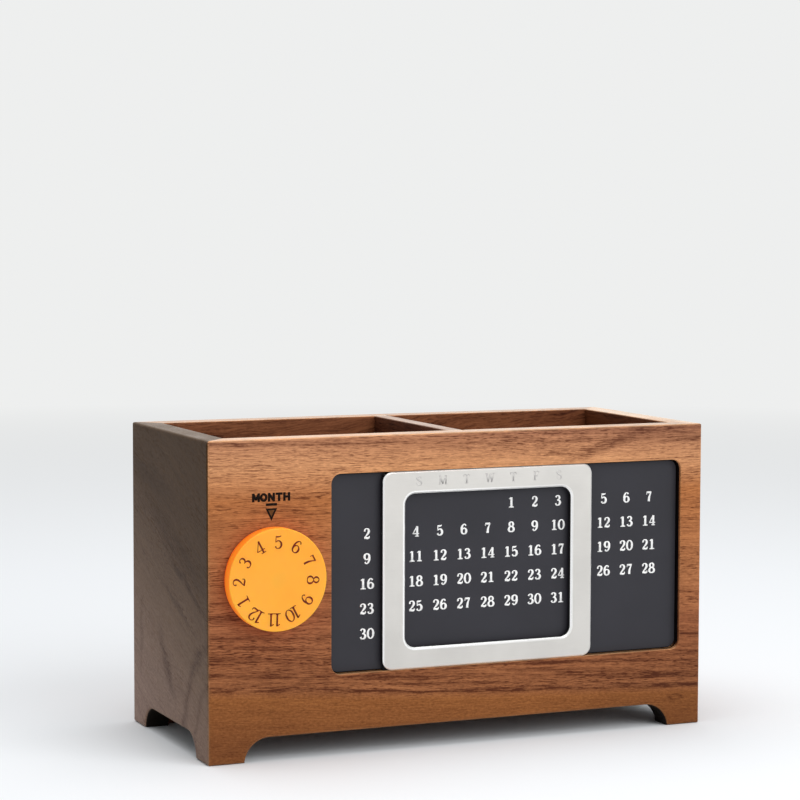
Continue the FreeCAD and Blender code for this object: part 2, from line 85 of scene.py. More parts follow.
# How far a mark's outer side stands off the face under it, and how thick each kind of mark is.
PRINT_LIFT = 0.035
PRINT_THICKNESS = 0.03
BURN_LIFT = 0.02
BURN_THICKNESS = 0.018
ETCH_THICKNESS = 0.015

# Figures and letters as pen strokes, 100 high: closed or not, curved or not, and knots of
# across, up and half the stroke's width.
CURVED, STRAIGHT, RING = (False, True), (False, False), (True, True)
FIGURES = {
    "0": [(RING, [(35, 96, 4), (15, 82, 7), (8, 50, 9.5), (15, 18, 7),
                  (35, 4, 4), (55, 18, 7), (62, 50, 9.5), (55, 82, 7)])],
    "1": [(STRAIGHT, [(38, 98, 9), (38, 3, 9)]), (STRAIGHT, [(12, 4, 4), (64, 4, 4)]),
          (STRAIGHT, [(38, 15, 8), (38, 2, 21)]), (STRAIGHT, [(37, 95, 6), (15, 83, 4)])],
    "2": [(CURVED, [(18, 71, 8), (15, 82, 6), (23, 93, 4), (38, 96, 4), (53, 87, 8), (57, 70, 9.5),
                    (47, 49, 8), (27, 27, 5), (12, 10, 4)]),
          (CURVED, [(11, 7, 5), (26, 10, 8), (44, 7, 8), (58, 11, 6), (62, 27, 3)])],
    "3": [(CURVED, [(16, 80, 7.5), (22, 92, 5), (37, 96, 4), (51, 87, 8), (54, 73, 9),
                    (45, 58, 6), (29, 53, 3.5)]),
          (CURVED, [(29, 53, 3.5), (48, 49, 6), (60, 30, 10), (52, 11, 8), (34, 4, 4),
                    (19, 9, 5), (14, 22, 8)])],
    "4": [(STRAIGHT, [(47, 98, 4), (5, 29, 4)]), (STRAIGHT, [(2, 28, 4), (68, 28, 4)]),
          (STRAIGHT, [(47, 98, 9), (47, 3, 9)]), (STRAIGHT, [(27, 3.5, 3.5), (67, 3.5, 3.5)])],
    "5": [(CURVED, [(17, 91, 6), (33, 90, 7), (49, 93, 5), (57, 99, 2.5)]),
          (STRAIGHT, [(17, 97, 3.5), (15, 50, 3.5)]),
          (CURVED, [(15, 50, 3.5), (34, 61, 5), (52, 53, 8), (60, 32, 10), (52, 11, 8),
                    (34, 4, 4), (19, 9, 5), (14, 21, 8)])],
    "6": [(RING, [(37, 59, 4), (19, 49, 7), (12, 31, 9.5), (19, 12, 7),
                  (37, 4, 4), (54, 13, 8), (60, 31, 10), (54, 50, 7)]),
          (CURVED, [(54, 80, 7), (49, 92, 5), (38, 96, 4), (22, 84, 7), (12, 60, 9), (12, 34, 9)])],
    "7": [(STRAIGHT, [(13, 98, 3), (10, 70, 3)]), (STRAIGHT, [(11, 91, 7.5), (61, 91, 7.5)]),
          (CURVED, [(59, 94, 4), (47, 68, 5.5), (37, 38, 9), (34, 2, 10.5)])],
    "8": [(RING, [(35, 97, 4), (20, 89, 7), (15, 75, 9), (21, 61, 7),
                  (35, 54, 4), (49, 61, 7), (55, 75, 9), (50, 89, 7)]),
          (RING, [(35, 54, 4), (17, 45, 7), (9, 28, 9.5), (16, 10, 7),
                  (35, 4, 4), (54, 10, 8), (61, 28, 10), (53, 45, 7)])],
    "9": [(RING, [(33, 41, 4), (51, 51, 7), (58, 69, 9.5), (51, 88, 7),
                  (33, 96, 4), (16, 87, 8), (10, 69, 10), (16, 50, 7)]),
          (CURVED, [(16, 20, 7), (21, 8, 5), (32, 4, 4), (48, 16, 7), (58, 40, 9), (58, 66, 9)])],
}
LETTERS = {
    "S": [(CURVED, [(61, 74, 3), (57, 90, 4), (38, 97, 4), (18, 89, 6), (13, 74, 8), (25, 60, 8),
                    (46, 48, 8), (62, 35, 8), (62, 17, 7), (50, 5, 5), (33, 3, 4), (15, 11, 4),
                    (10, 27, 3)])],
    "M": [(STRAIGHT, [(14, 98, 4), (14, 2, 4)]), (STRAIGHT, [(14, 98, 8), (48, 6, 8)]),
          (STRAIGHT, [(48, 6, 4), (82, 98, 4)]), (STRAIGHT, [(84, 98, 8), (84, 2, 8)]),
          (STRAIGHT, [(2, 3, 3), (28, 3, 3)]), (STRAIGHT, [(68, 3, 3), (100, 3, 3)])],
    "T": [(STRAIGHT, [(40, 98, 8), (40, 2, 8)]), (STRAIGHT, [(6, 96, 4), (74, 96, 4)]),
          (STRAIGHT, [(8, 98, 4), (5, 76, 3)]), (STRAIGHT, [(72, 98, 4), (75, 76, 3)]),
          (STRAIGHT, [(24, 3, 3), (56, 3, 3)])],
    "W": [(STRAIGHT, [(10, 98, 8), (32, 4, 8)]), (STRAIGHT, [(32, 4, 4), (54, 96, 4)]),
          (STRAIGHT, [(54, 96, 8), (76, 4, 8)]), (STRAIGHT, [(76, 4, 4), (98, 98, 4)]),
          (STRAIGHT, [(0, 97, 3), (24, 97, 3)]), (STRAIGHT, [(86, 97, 3), (108, 97, 3)])],
    "F": [(STRAIGHT, [(20, 98, 8), (20, 2, 8)]), (STRAIGHT, [(6, 96, 4), (68, 96, 4)]),
          (STRAIGHT, [(20, 50, 4), (50, 50, 4)]), (STRAIGHT, [(67, 98, 4), (70, 76, 3)]),
          (STRAIGHT, [(50, 62, 3), (50, 38, 3)]), (STRAIGHT, [(6, 3, 3), (38, 3, 3)])],
}
HEAVY_CAPITALS = {
    "M": [(STRAIGHT, [(14, 0, 14), (14, 100, 14)]), (STRAIGHT, [(82, 0, 14), (82, 100, 14)]),
          (STRAIGHT, [(17, 90, 13), (48, 22, 13)]), (STRAIGHT, [(48, 22, 13), (79, 90, 13)])],
    "O": [(RING, [(45, 87, 13), (23, 76, 13.5), (14, 50, 14), (23, 24, 13.5),
                  (45, 13, 13), (67, 24, 13.5), (76, 50, 14), (67, 76, 13.5)])],
    "N": [(STRAIGHT, [(14, 0, 14), (14, 100, 14)]), (STRAIGHT, [(72, 0, 14), (72, 100, 14)]),
          (STRAIGHT, [(18, 87, 13), (68, 13, 13)])],
    "T": [(STRAIGHT, [(0, 87, 13), (84, 87, 13)]), (STRAIGHT, [(42, 85, 14.5), (42, 0, 14.5)])],
    "H": [(STRAIGHT, [(14, 0, 14), (14, 100, 14)]), (STRAIGHT, [(72, 0, 14), (72, 100, 14)]),
          (STRAIGHT, [(14, 51, 13), (72, 51, 13)])],
}


# ---- shader nodes ----

def feed(tree, socket, value):
    """Links a socket to another, or gives it a value of its own."""
    if isinstance(value, bpy.types.NodeSocket):
        tree.links.new(value, socket)
    else:
        socket.default_value = value


def add_node(tree, kind, inputs=None, **settings):
    """A shader node with its settings made and its sockets fed."""
    node = tree.nodes.new("ShaderNode" + kind)
    for name, setting in settings.items():
        setattr(node, name, setting)
    for name, value in (inputs or {}).items():
        feed(tree, node.inputs[name], value)
    return node


def work_out(tree, operation, *values, clamp=False):
    return add_node(tree, "Math", dict(enumerate(values)), operation=operation, use_clamp=clamp).outputs[0]


def apart(tree, first, second):
    """How far two values are from each other."""
    return work_out(tree, "ABSOLUTE", work_out(tree, "SUBTRACT", first, second))


def length_of(tree, vector):
    return add_node(tree, "VectorMath", {0: vector}, operation="LENGTH").outputs["Value"]


def scale_vector(tree, vector, across):
    return add_node(tree, "VectorMath", {0: vector, 1: across}, operation="MULTIPLY").outputs[0]


def noise(tree, vector, across, detail=2.0, roughness=0.5):
    """Noise from 0 to 1 whose cells per millimetre are given for each axis."""
    return add_node(tree, "TexNoise", {"Vector": scale_vector(tree, vector, across), "Scale": 1.0,
                                       "Detail": detail, "Roughness": roughness}).outputs["Fac"]


def spread(tree, value, low, high, to_low=0.0, to_high=1.0):
    """Stretches the part of a value between low and high, and holds it at both ends."""
    return add_node(tree, "MapRange", {"Value": value, "From Min": low, "From Max": high,
                                       "To Min": to_low, "To Max": to_high}).outputs[0]


def mix_colours(tree, share, first, second):
    node = add_node(tree, "Mix", data_type="RGBA")
    feed(tree, node.inputs[0], share)
    feed(tree, node.inputs[6], first)
    feed(tree, node.inputs[7], second)
    return node.outputs[2]


def new_group(name, inputs, outputs):
    """An empty node group. Sockets are pairs of a name and its kind."""
    tree = bpy.data.node_groups.new(name, "ShaderNodeTree")
    for way, sockets in (("INPUT", inputs), ("OUTPUT", outputs)):
        for label, kind in sockets:
            tree.interface.new_socket(name=label, in_out=way, socket_type="NodeSocket" + kind)
    return tree, tree.nodes.new("NodeGroupInput").outputs, tree.nodes.new("NodeGroupOutput").inputs


def place_group(tree, group, inputs):
    node = add_node(tree, "Group", node_tree=group)
    for name, value in inputs.items():
        feed(tree, node.inputs[name], value)
    return node.outputs


def make_growth_rings():
    """A point's place in the tree: how far it is along the grain, and how far from the heart."""
    tree, given, made = new_group(
        "growth rings", [("Vector", "Vector"), ("Taper", "Float"), ("Wander", "Float")],
        [("Grain", "Vector"), ("Ring", "Float")])
    slow = noise(tree, given["Vector"], (0.009, 0.030, 0.030), 2.0)
    quick = noise(tree, given["Vector"], (0.040, 0.110, 0.110), 2.0)
    drift = work_out(tree, "ADD", work_out(tree, "SUBTRACT", slow, 0.5),
                     work_out(tree, "MULTIPLY", work_out(tree, "SUBTRACT", quick, 0.5), 0.40))
    place = add_node(tree, "SeparateXYZ", {0: given["Vector"]}).outputs
    along = work_out(tree, "MULTIPLY", place["X"], given["Taper"])
    seen = add_node(tree, "CombineXYZ", {"X": along, "Y": place["Y"], "Z": place["Z"]}).outputs[0]
    ring = work_out(tree, "MULTIPLY_ADD", drift, given["Wander"], length_of(tree, seen))
    grain = add_node(tree, "CombineXYZ", {"X": place["X"], "Y": ring, "Z": place["Z"]})
    feed(tree, made["Ring"], ring)
    feed(tree, made["Grain"], grain.outputs[0])
    return tree


def make_walnut_figure():
    """Walnut's streaks, growth lines, fibres, open pores and golden flecks over a board's own colour."""
    tree, given, made = new_group(
        "walnut figure",
        [("Grain", "Vector"), ("Base", "Color"), ("Streaks", "Float"), ("Lines", "Float"),
         ("Pores", "Float"), ("Mottle", "Float"), ("Marks", "Float")],
        [("Color", "Color"), ("Roughness", "Float"), ("Height", "Float")])
    grain = given["Grain"]
    streak = noise(tree, grain, (0.024, 0.42, 0.42), 4.0, 0.60)
    fibre = noise(tree, grain, (0.09, 2.6, 2.6), 3.0, 0.70)
    growth = noise(tree, grain, (0.006, 0.30, 0.30), 3.0, 0.6)
    ridge = apart(tree, growth, 0.5)
    broken = spread(tree, noise(tree, grain, (0.035, 0.35, 0.35), 2.0), 0.40, 0.62)
    line = work_out(tree, "MULTIPLY", spread(tree, ridge, 0.0, 0.045, 1.0, 0.0), broken)
    crowd = spread(tree, noise(tree, grain, (0.012, 0.10, 0.10), 1.0), 0.35, 0.65, 0.35, 1.0)
    short = spread(tree, noise(tree, grain, (0.32, 3.1, 3.1), 1.0), 0.54, 0.66)
    long = spread(tree, noise(tree, grain, (0.15, 2.2, 2.2), 1.0), 0.58, 0.68)
    pore = work_out(tree, "MULTIPLY", work_out(tree, "MAXIMUM", short, long), crowd)
    fleck = spread(tree, noise(tree, grain, (0.55, 1.7, 1.7), 2.0, 0.7), 0.52, 0.72)
    mottle = work_out(tree, "SUBTRACT", noise(tree, grain, (0.75, 1.5, 1.5), 3.0, 0.65), 0.5)
    tone = work_out(tree, "MULTIPLY_ADD", work_out(tree, "SUBTRACT", streak, 0.5), given["Streaks"], 0.5)
    tone = work_out(tree, "MULTIPLY_ADD", work_out(tree, "SUBTRACT", fibre, 0.5), 0.75, tone)
    tone = work_out(tree, "MULTIPLY_ADD", mottle, given["Mottle"], tone)
    tone = work_out(tree, "SUBTRACT", tone, given["Marks"])
    tone = work_out(tree, "SUBTRACT", tone, work_out(tree, "MULTIPLY", line, given["Lines"]))
    tone = work_out(tree, "SUBTRACT", tone, work_out(tree, "MULTIPLY", pore, given["Pores"]))
    tone = work_out(tree, "MULTIPLY_ADD", fleck, 0.16, tone)
    deep = mix_colours(tree, work_out(tree, "MULTIPLY", tone, 2.0, clamp=True),
                       (0.30, 0.22, 0.22, 1), (1.0, 1.0, 1.0, 1))
    pale = work_out(tree, "MULTIPLY_ADD", tone, 2.0, -1.0, clamp=True)
    shade = mix_colours(tree, pale, deep, (1.62, 1.78, 1.80, 1))
    feed(tree, made["Color"], scale_vector(tree, given["Base"], shade))
    feed(tree, made["Roughness"], work_out(tree, "MULTIPLY_ADD", pore, 0.18, work_out(
        tree, "MULTIPLY_ADD", fibre, 0.16, 0.40)))
    feed(tree, made["Height"], work_out(tree, "MULTIPLY_ADD", pore, -0.8, work_out(
        tree, "MULTIPLY_ADD", line, -0.25, fibre)))
    return tree


def make_wear():
    """Masks on a board whose thickness runs across: its edges and rim, where hands rub it and a painted
    sheen goes, and its cut faces.
    """
    tree, given, made = new_group(
        "edge_rim_cut_masks", [("Across", "Vector"), ("Vector", "Vector")],
        [("Edge", "Float"), ("Rim", "Float"), ("Cut", "Float")])
    normal = add_node(tree, "NewGeometry").outputs["True Normal"]
    facing = work_out(tree, "ABSOLUTE", add_node(tree, "VectorMath", {0: normal, 1: given["Across"]},
                                                 operation="DOT_PRODUCT").outputs["Value"])
    away = work_out(tree, "SUBTRACT", 1.0, facing)
    between = work_out(tree, "MULTIPLY", work_out(tree, "MULTIPLY", facing, away), 4.0)
    patchy = spread(tree, noise(tree, given["Vector"], (0.03, 0.10, 0.10), 3.0), 0.35, 0.60, 0.62, 1.0)
    feed(tree, made["Cut"], spread(tree, facing, 0.66, 0.45))
    feed(tree, made["Edge"], work_out(tree, "MULTIPLY", between, patchy))
    up = add_node(tree, "SeparateXYZ", {0: normal}).outputs["Z"]
    feed(tree, made["Rim"], work_out(tree, "MULTIPLY", spread(tree, up, 0.55, 0.98), patchy))
    return tree


def make_fine_texture():
    """A fine even tooth with faint clouds, as on moulded, coated and blasted pieces."""
    tree, given, made = new_group(
        "fine texture", [("Vector", "Vector"), ("Tooth", "Float"), ("Cloud", "Float")],
        [("Tooth", "Float"), ("Cloud", "Float")])
    for name, detail in (("Tooth", 2.0), ("Cloud", 3.0)):
        cells = add_node(tree, "VectorMath", {0: given["Vector"]}, operation="SCALE")
        feed(tree, cells.inputs["Scale"], given[name])
        grain = add_node(tree, "TexNoise", {"Vector": cells.outputs[0], "Scale": 1.0, "Detail": detail})
        feed(tree, made[name], grain.outputs["Fac"])
    return tree


GROWTH_RINGS = make_growth_rings()
WALNUT_FIGURE = make_walnut_figure()
EDGE_RIM_CUT_MASKS = make_wear()
FINE_TEXTURE = make_fine_texture()


def new_material(name, **constants):
    """A material with a Principled shader, whose even values are set on its own sockets."""
    material = bpy.data.materials.new(name)
    material.use_nodes = True
    tree = material.node_tree
    tree.nodes.clear()
    shader = add_node(tree, "BsdfPrincipled")
    for label, value in constants.items():
        shader.inputs[label.replace("_", " ").title().replace("Ior", "IOR")].default_value = value
    output = add_node(tree, "OutputMaterial")
    tree.links.new(shader.outputs[0], output.inputs[0])
    return material, tree, shader.inputs


def object_place(tree, turn=(0, 0, 0), shift=(0, 0, 0)):
    """Object coordinates in millimetres, turned and shifted for the piece."""
    place = add_node(tree, "TexCoord").outputs["Object"]
    return add_node(tree, "Mapping", {"Vector": place, "Location": shift, "Rotation": turn,
                                      "Scale": (1000, 1000, 1000)}).outputs[0]


def raise_surface(tree, shader, height, depth, strength=1.0):
    """Bump of a depth in millimetres."""
    bump = add_node(tree, "Bump", {"Height": height, "Distance": depth * MM, "Strength": strength})
    feed(tree, shader["Normal"], bump.outputs[0])


def seen_as(red, green, blue):
    """A colour given as a screen shows it, from 0 to 255."""
    return tuple(((part / 255 + 0.055) / 1.055) ** 2.4 for part in (red, green, blue)) + (1.0,)


def colour_ramp(tree, value, stops):
    """A smooth run of colours between stops of a place and the colour that a screen shows."""
    return even_ramp(tree, value, [(place, seen_as(*colour)[:3]) for place, colour in stops])


def even_ramp(tree, value, stops):
    """A smooth run between stops of a place and three plain numbers."""
    ramp = add_node(tree, "ValToRGB", {0: value})
    bands = ramp.color_ramp
    while len(bands.elements) < len(stops):
        bands.elements.new(1.0)
    for element, (place, numbers) in zip(bands.elements, stops):
        element.position = place
        element.color = (*numbers, 1.0)
    return ramp.outputs[0]


def axis_of(tree, name):
    """One of the object's own coordinates, in millimetres."""
    place = add_node(tree, "TexCoord").outputs["Object"]
    along = add_node(tree, "SeparateXYZ", {0: place}).outputs[name]
    return work_out(tree, "MULTIPLY", along, 1000.0)


def facing_along(tree, name):
    """How far a surface faces along one axis, from -1 to 1."""
    normal = add_node(tree, "NewGeometry").outputs["True Normal"]
    return add_node(tree, "SeparateXYZ", {0: normal}).outputs[name]


# ---- wood ----

def turn_of(*rows):
    return Matrix(rows).to_euler()


# Each turn brings a piece's grain to the pattern's X axis and its width to the Y axis.
GRAIN_ALONG_FRONT = turn_of((1, 0, 0), (0, 0, 1), (0, -1, 0))
GRAIN_ALONG_END = turn_of((0, 1, 0), (0, 0, 1), (1, 0, 0))
GRAIN_ALONG_FLOOR = turn_of((1, 0, 0), (0, 1, 0), (0, 0, 1))
ALONG_Y, ALONG_X = (0, 1, 0), (1, 0, 0)


def lift_grain(tree, place, lift):
    """Moves the pattern across the grain, so that its lines follow the lift along the board."""
    shift = add_node(tree, "CombineXYZ", {"Y": lift}).outputs[0]
    return add_node(tree, "VectorMath", {0: place, 1: shift}, operation="ADD").outputs[0]


def oval(tree, flat, centre, slope, half_length, half_width):
    """How far a point of the board's face is from an oval's middle: 1 on its outline."""
    turned = (0, 0, math.radians(slope))
    inside = add_node(tree, "Mapping", {
        "Vector": flat, "Location": (*centre, 0), "Rotation": turned,
        "Scale": (half_length, half_width, 1)}, vector_type="TEXTURE")
    return length_of(tree, inside.outputs[0])


def vein(tree, flat, centre, slope, half_length, half_width, depth):
    """A soft dark vein."""
    return spread(tree, oval(tree, flat, centre, slope, half_length, half_width), 0.25, 1.0, depth, 0.0)


def curl(tree, flat, centre, slope, half_length, half_width, line, depth):
    """A dark line round an oval, as round an eye or a crotch in the grain."""
    off = apart(tree, oval(tree, flat, centre, slope, half_length, half_width), 1.0)
    return spread(tree, off, 0.0, line, depth, 0.0)


def add_up(tree, values):
    total = values[0]
    for value in values[1:]:
        total = work_out(tree, "ADD", total, value)
    return total


def face_of(tree, across, up, wander):
    """The board's face as a flat plane, its points moved a little so that marks on it wander."""
    flat = add_node(tree, "CombineXYZ", {"X": across, "Y": up}).outputs[0]
    cells = scale_vector(tree, flat, (0.09, 0.13, 0.1))
    drift = add_node(tree, "TexNoise", {"Vector": cells, "Scale": 1.0, "Detail": 2.0}).outputs["Color"]
    off = add_node(tree, "VectorMath", {0: drift, 1: (0.5, 0.5, 0.5)}, operation="SUBTRACT").outputs[0]
    return add_node(tree, "VectorMath", {0: off, 1: (wander, wander, 0), 2: flat},
                    operation="MULTIPLY_ADD").outputs[0]


# What rubbing and a painted sheen add to a rim's colour, and how much of each colour painted shade leaves
# inside the box.
RIM_SHEEN_AND_RUBBING = (0.42, 0.29, 0.15)
INNER_SHADE = (0.58, 0.50, 0.50)


def start_wood(name):
    return new_material(name, ior=1.5, specular_ior_level=0.06, coat_roughness=0.22)


def rings_of(tree, place, rings):
    """A board's place in the tree, and how far through its own span of rings each point is."""
    taper, wander, first, span = rings
    growth = place_group(tree, GROWTH_RINGS, {"Vector": place, "Taper": taper, "Wander": wander})
    return growth, spread(tree, growth["Ring"], first, first + span)


def finish_wood(tree, shader, place, growth, base, across, figure, gloss=0.0, rim=RIM_SHEEN_AND_RUBBING,
                inner=INNER_SHADE, oil=0.85):
    """Adds the figure to a board's colours, lightens its edges and rim by rubbing and a painted sheen, and
    paints shade inside it and on its arches.
    """
    figure = place_group(tree, WALNUT_FIGURE, {"Grain": growth["Grain"], "Base": base, **figure})
    edge_rim_cut_masks = place_group(tree, EDGE_RIM_CUT_MASKS, {"Across": across, "Vector": place})
    # Edges get rubbing and a painted highlight, and the rim a painted sheen.
    rubbing_and_sheen = work_out(tree, "MAXIMUM", work_out(tree, "MULTIPLY", edge_rim_cut_masks["Edge"], 0.22), edge_rim_cut_masks["Rim"])
    golden = add_node(tree, "VectorMath", {0: figure["Color"], 1: (1.45, 1.35, 1.0), 2: rim},
                      operation="MULTIPLY_ADD").outputs[0]
    colour = mix_colours(tree, rubbing_and_sheen, figure["Color"], golden)
    # Painted shade inside the box.
    inside = work_out(tree, "MULTIPLY",
                      spread(tree, apart(tree, axis_of(tree, "X"), BOX_MIDDLE[0]), *INSIDE_X),
                      spread(tree, apart(tree, axis_of(tree, "Y"), BOX_MIDDLE[1]), *INSIDE_Y))
    colour = mix_colours(tree, inside, colour, scale_vector(tree, colour, inner))
    # Painted shade, near black, on the cut faces of the arches.
    arch = work_out(tree, "MULTIPLY", edge_rim_cut_masks["Cut"], spread(tree, axis_of(tree, "Z"), *ARCH_TOP))
    feed(tree, shader["Base Color"], mix_colours(tree, arch, colour, (0.012, 0.009, 0.007, 1)))
    feed(tree, shader["Coat Weight"], work_out(tree, "MULTIPLY", edge_rim_cut_masks["Rim"], oil))
    smoother = work_out(tree, "MULTIPLY_ADD", rubbing_and_sheen, -0.20, figure["Roughness"])
    feed(tree, shader["Roughness"], work_out(tree, "ADD", smoother, gloss))
    raise_surface(tree, shader, figure["Height"], 0.05, 0.6)


def paint_wood(name, turn, shift, rings, bands, across, streaks=1.1, lines=0.30, pores=0.34, gloss=0.0,
               rim=RIM_SHEEN_AND_RUBBING, inner=INNER_SHADE):
    """A plain walnut board from its own place in the tree: rings are taper, wander, first ring and span."""
    material, tree, shader = start_wood(name)
    place = object_place(tree, turn, shift)
    growth, depth = rings_of(tree, place, rings)
    finish_wood(tree, shader, place, growth, colour_ramp(tree, depth, bands), across,
                {"Streaks": streaks, "Lines": lines, "Pores": pores, "Mottle": 0.25}, gloss, rim, inner)
    return material


# Tones of the boards, as a screen shows them, across the growth rings that each board spans.
FRONT_BANDS = [
    (0.0, (170, 115, 85)), (0.10, (210, 150, 105)), (0.20, (175, 110, 65)), (0.45, (170, 110, 70)),
    (0.60, (150, 92, 60)), (0.82, (150, 95, 60)), (0.85, (140, 86, 46)), (1.0, (120, 72, 40))]
# Where the front board's dark growth lines lie among its rings, and how dark each is.
FRONT_LINES = [
    (0.0, 0.26), (0.018, 0.0), (0.032, 0.26), (0.045, 0.0), (0.57, 0.0), (0.585, 0.22), (0.60, 0.0),
    (0.64, 0.0), (0.652, 0.30), (0.665, 0.0), (0.70, 0.05), (0.716, 0.28), (0.728, 0.05), (0.739, 0.34),
    (0.752, 0.05), (0.766, 0.10), (0.776, 0.42), (0.788, 0.08), (0.810, 0.10), (0.822, 0.62),
    (0.833, 0.0)]
# Half the streaks, pores and mottle of the front board across its rings, as red, green and blue.
FRONT_FIGURE = [(0.0, (0.34, 0.21, 0.10)), (0.08, (0.22, 0.21, 0.12)), (0.42, (0.32, 0.23, 0.14)),
                (0.56, (0.54, 0.28, 0.16)), (0.80, (0.48, 0.28, 0.20)), (0.845, (0.18, 0.05, 0.46)),
                (1.0, (0.14, 0.05, 0.50))]
PLAIN_BANDS = [(0.0, (176, 118, 80)), (0.2, (160, 102, 66)), (0.4, (178, 118, 76)), (0.6, (150, 94, 60)),
               (0.8, (166, 108, 70)), (1.0, (142, 88, 56))]
DARK_BANDS = [(0.0, (132, 84, 58)), (0.3, (118, 72, 48)), (0.6, (128, 80, 54)), (1.0, (112, 68, 46))]
# The left end's bands are painted shade: darkest at its top, and paler and greyer low down with painted
# light from the floor.
END_SHADE_BANDS = [(0.0, (65, 45, 25)), (0.35, (75, 55, 38)), (0.60, (110, 88, 72)), (1.0, (148, 122, 110))]


def front_marks(tree, place, depth, flat):
    """The front board's dark growth lines, broken along the grain, with its veins and small knot."""
    broken = spread(tree, noise(tree, place, (0.10, 0.9, 0.9), 2.0), 0.38, 0.62, 0.12, 1.0)
    drawn = even_ramp(tree, depth, [(at, (dark,) * 3) for at, dark in FRONT_LINES])
    return add_up(tree, [
        work_out(tree, "MULTIPLY", drawn, broken),
        vein(tree, flat, (59.0, 109.0), 15.5, 25.0, 2.9, 0.30),
        vein(tree, flat, (86.0, 115.0), 4.0, 26.0, 3.0, 0.20),
        vein(tree, flat, (80.5, 20.4), -8.0, 2.2, 0.9, 0.30),
        curl(tree, flat, (89.5, 10.9), -3.0, 2.9, 0.95, 0.55, 0.26)])


def darken_front(tree, wood, across, up):
    """Deepens the front board's colour towards its right end, most of all low and high there."""
    low = spread(tree, up, 20.0, 45.0, 0.36, 0.04)
    left = spread(tree, across, -60.0, -100.0, 0.0, 0.06)
    side = work_out(tree, "MULTIPLY_ADD", spread(tree, across, 30.0, 100.0), low, left)
    high = work_out(tree, "MULTIPLY", spread(tree, across, 40.0, 100.0),
                    spread(tree, up, 80.0, 112.0, 0.0, 0.22))
    darker = scale_vector(tree, wood, (0.42, 0.38, 0.44))
    return mix_colours(tree, work_out(tree, "MAXIMUM", high, side), wood, darker)


def in_recess(tree, across, up):
    """1 within the recess's outline and 0 outside it."""
    within = [work_out(tree, "LESS_THAN", apart(tree, place, middle), half)
              for place, middle, half in zip((across, up), RECESS_MIDDLE, RECESS_HALF)]
    return work_out(tree, "MULTIPLY", *within)


def burnt_depth(tree, across, deep):
    """1 on the recess's cut walls, which get painted shade; at its right end they keep their own wood near
    the face.
    """
    start = spread(tree, across, 86.0, 88.0, 0.12, 1.15)
    behind = spread(tree, work_out(tree, "SUBTRACT", deep, start), WOOD_FACE, WOOD_FACE + 0.2)
    return work_out(tree, "MULTIPLY", behind, work_out(tree, "LESS_THAN", deep, WOOD_FACE + 6.0))


def scorch_recess(tree, wood, across, deep, up):
    """Paints shade on the walls of the recess, nearly black, and much less on the ledge that faces up."""
    scorch_and_shade = work_out(tree, "MULTIPLY", in_recess(tree, across, up), burnt_depth(tree, across, deep))
    ledge = spread(tree, facing_along(tree, "Z"), 0.3, 0.8, 1.0, 0.15)
    scorch_and_shade = work_out(tree, "MULTIPLY", scorch_and_shade, ledge)
    return mix_colours(tree, scorch_and_shade, wood, (0.006, 0.004, 0.004, 1))


def paint_front():
    """The front board: palest near its top, with dark veins high on the right and painted shade on its
    recess walls.
    """
    material, tree, shader = start_wood("front walnut")
    across, deep, up = axis_of(tree, "X"), axis_of(tree, "Y"), axis_of(tree, "Z")
    slope = spread(tree, up, 45.0, 85.0, 0.060, 0.015)
    lift = work_out(tree, "MULTIPLY", across, slope)
    place = lift_grain(tree, object_place(tree, GRAIN_ALONG_FRONT, (0, -500, -41)), lift)
    growth, depth = rings_of(tree, place, (0.12, 3.2, 384, 116))
    marks = front_marks(tree, place, depth, face_of(tree, across, up, 3.0))
    shares = add_node(tree, "SeparateColor", {0: even_ramp(tree, depth, FRONT_FIGURE)}).outputs
    streaks, pores, mottle = [work_out(tree, "MULTIPLY", shares[name], 2.0)
                              for name in ("Red", "Green", "Blue")]
    figure = {"Streaks": streaks, "Lines": work_out(tree, "MULTIPLY", pores, 0.6), "Pores": pores,
              "Mottle": mottle, "Marks": marks}
    finish_wood(tree, shader, place, growth, colour_ramp(tree, depth, FRONT_BANDS), ALONG_Y, figure)
    wood = darken_front(tree, shader["Base Color"].links[0].from_socket, across, up)
    feed(tree, shader["Base Color"], scorch_recess(tree, wood, across, deep, up))
    return material


def paint_back():
    # The back's rim tint is a painted sheen.
    return paint_wood("back walnut", GRAIN_ALONG_FRONT, (137, -420, 47), (0.45, 12.0, 304, 116),
                      PLAIN_BANDS, ALONG_Y, rim=(0.16, 0.17, 0.11))


def end_marks(tree, flat):
    """Veins that climb towards the back, and curls round a crotch low at the front."""
    return add_up(tree, [
        vein(tree, flat, (-17.0, 62.0), 24.0, 34.0, 2.0, 0.23),
        vein(tree, flat, (-8.0, 52.0), 22.0, 28.0, 2.0, 0.17),
        vein(tree, flat, (-5.0, 74.0), 20.0, 50.0, 9.0, 0.13),
        vein(tree, flat, (20.0, 96.0), 12.0, 34.0, 7.0, 0.14),
        vein(tree, flat, (5.0, 28.0), 52.0, 20.0, 4.4, 0.24),
        vein(tree, flat, (36.5, 36.0), 94.0, 20.0, 3.0, 0.14),
        curl(tree, flat, (-46.0, 6.0), 0.0, 31.0, 36.0, 0.12, 0.25),
        curl(tree, flat, (-47.0, 4.0), 0.0, 20.0, 25.0, 0.12, 0.17)])


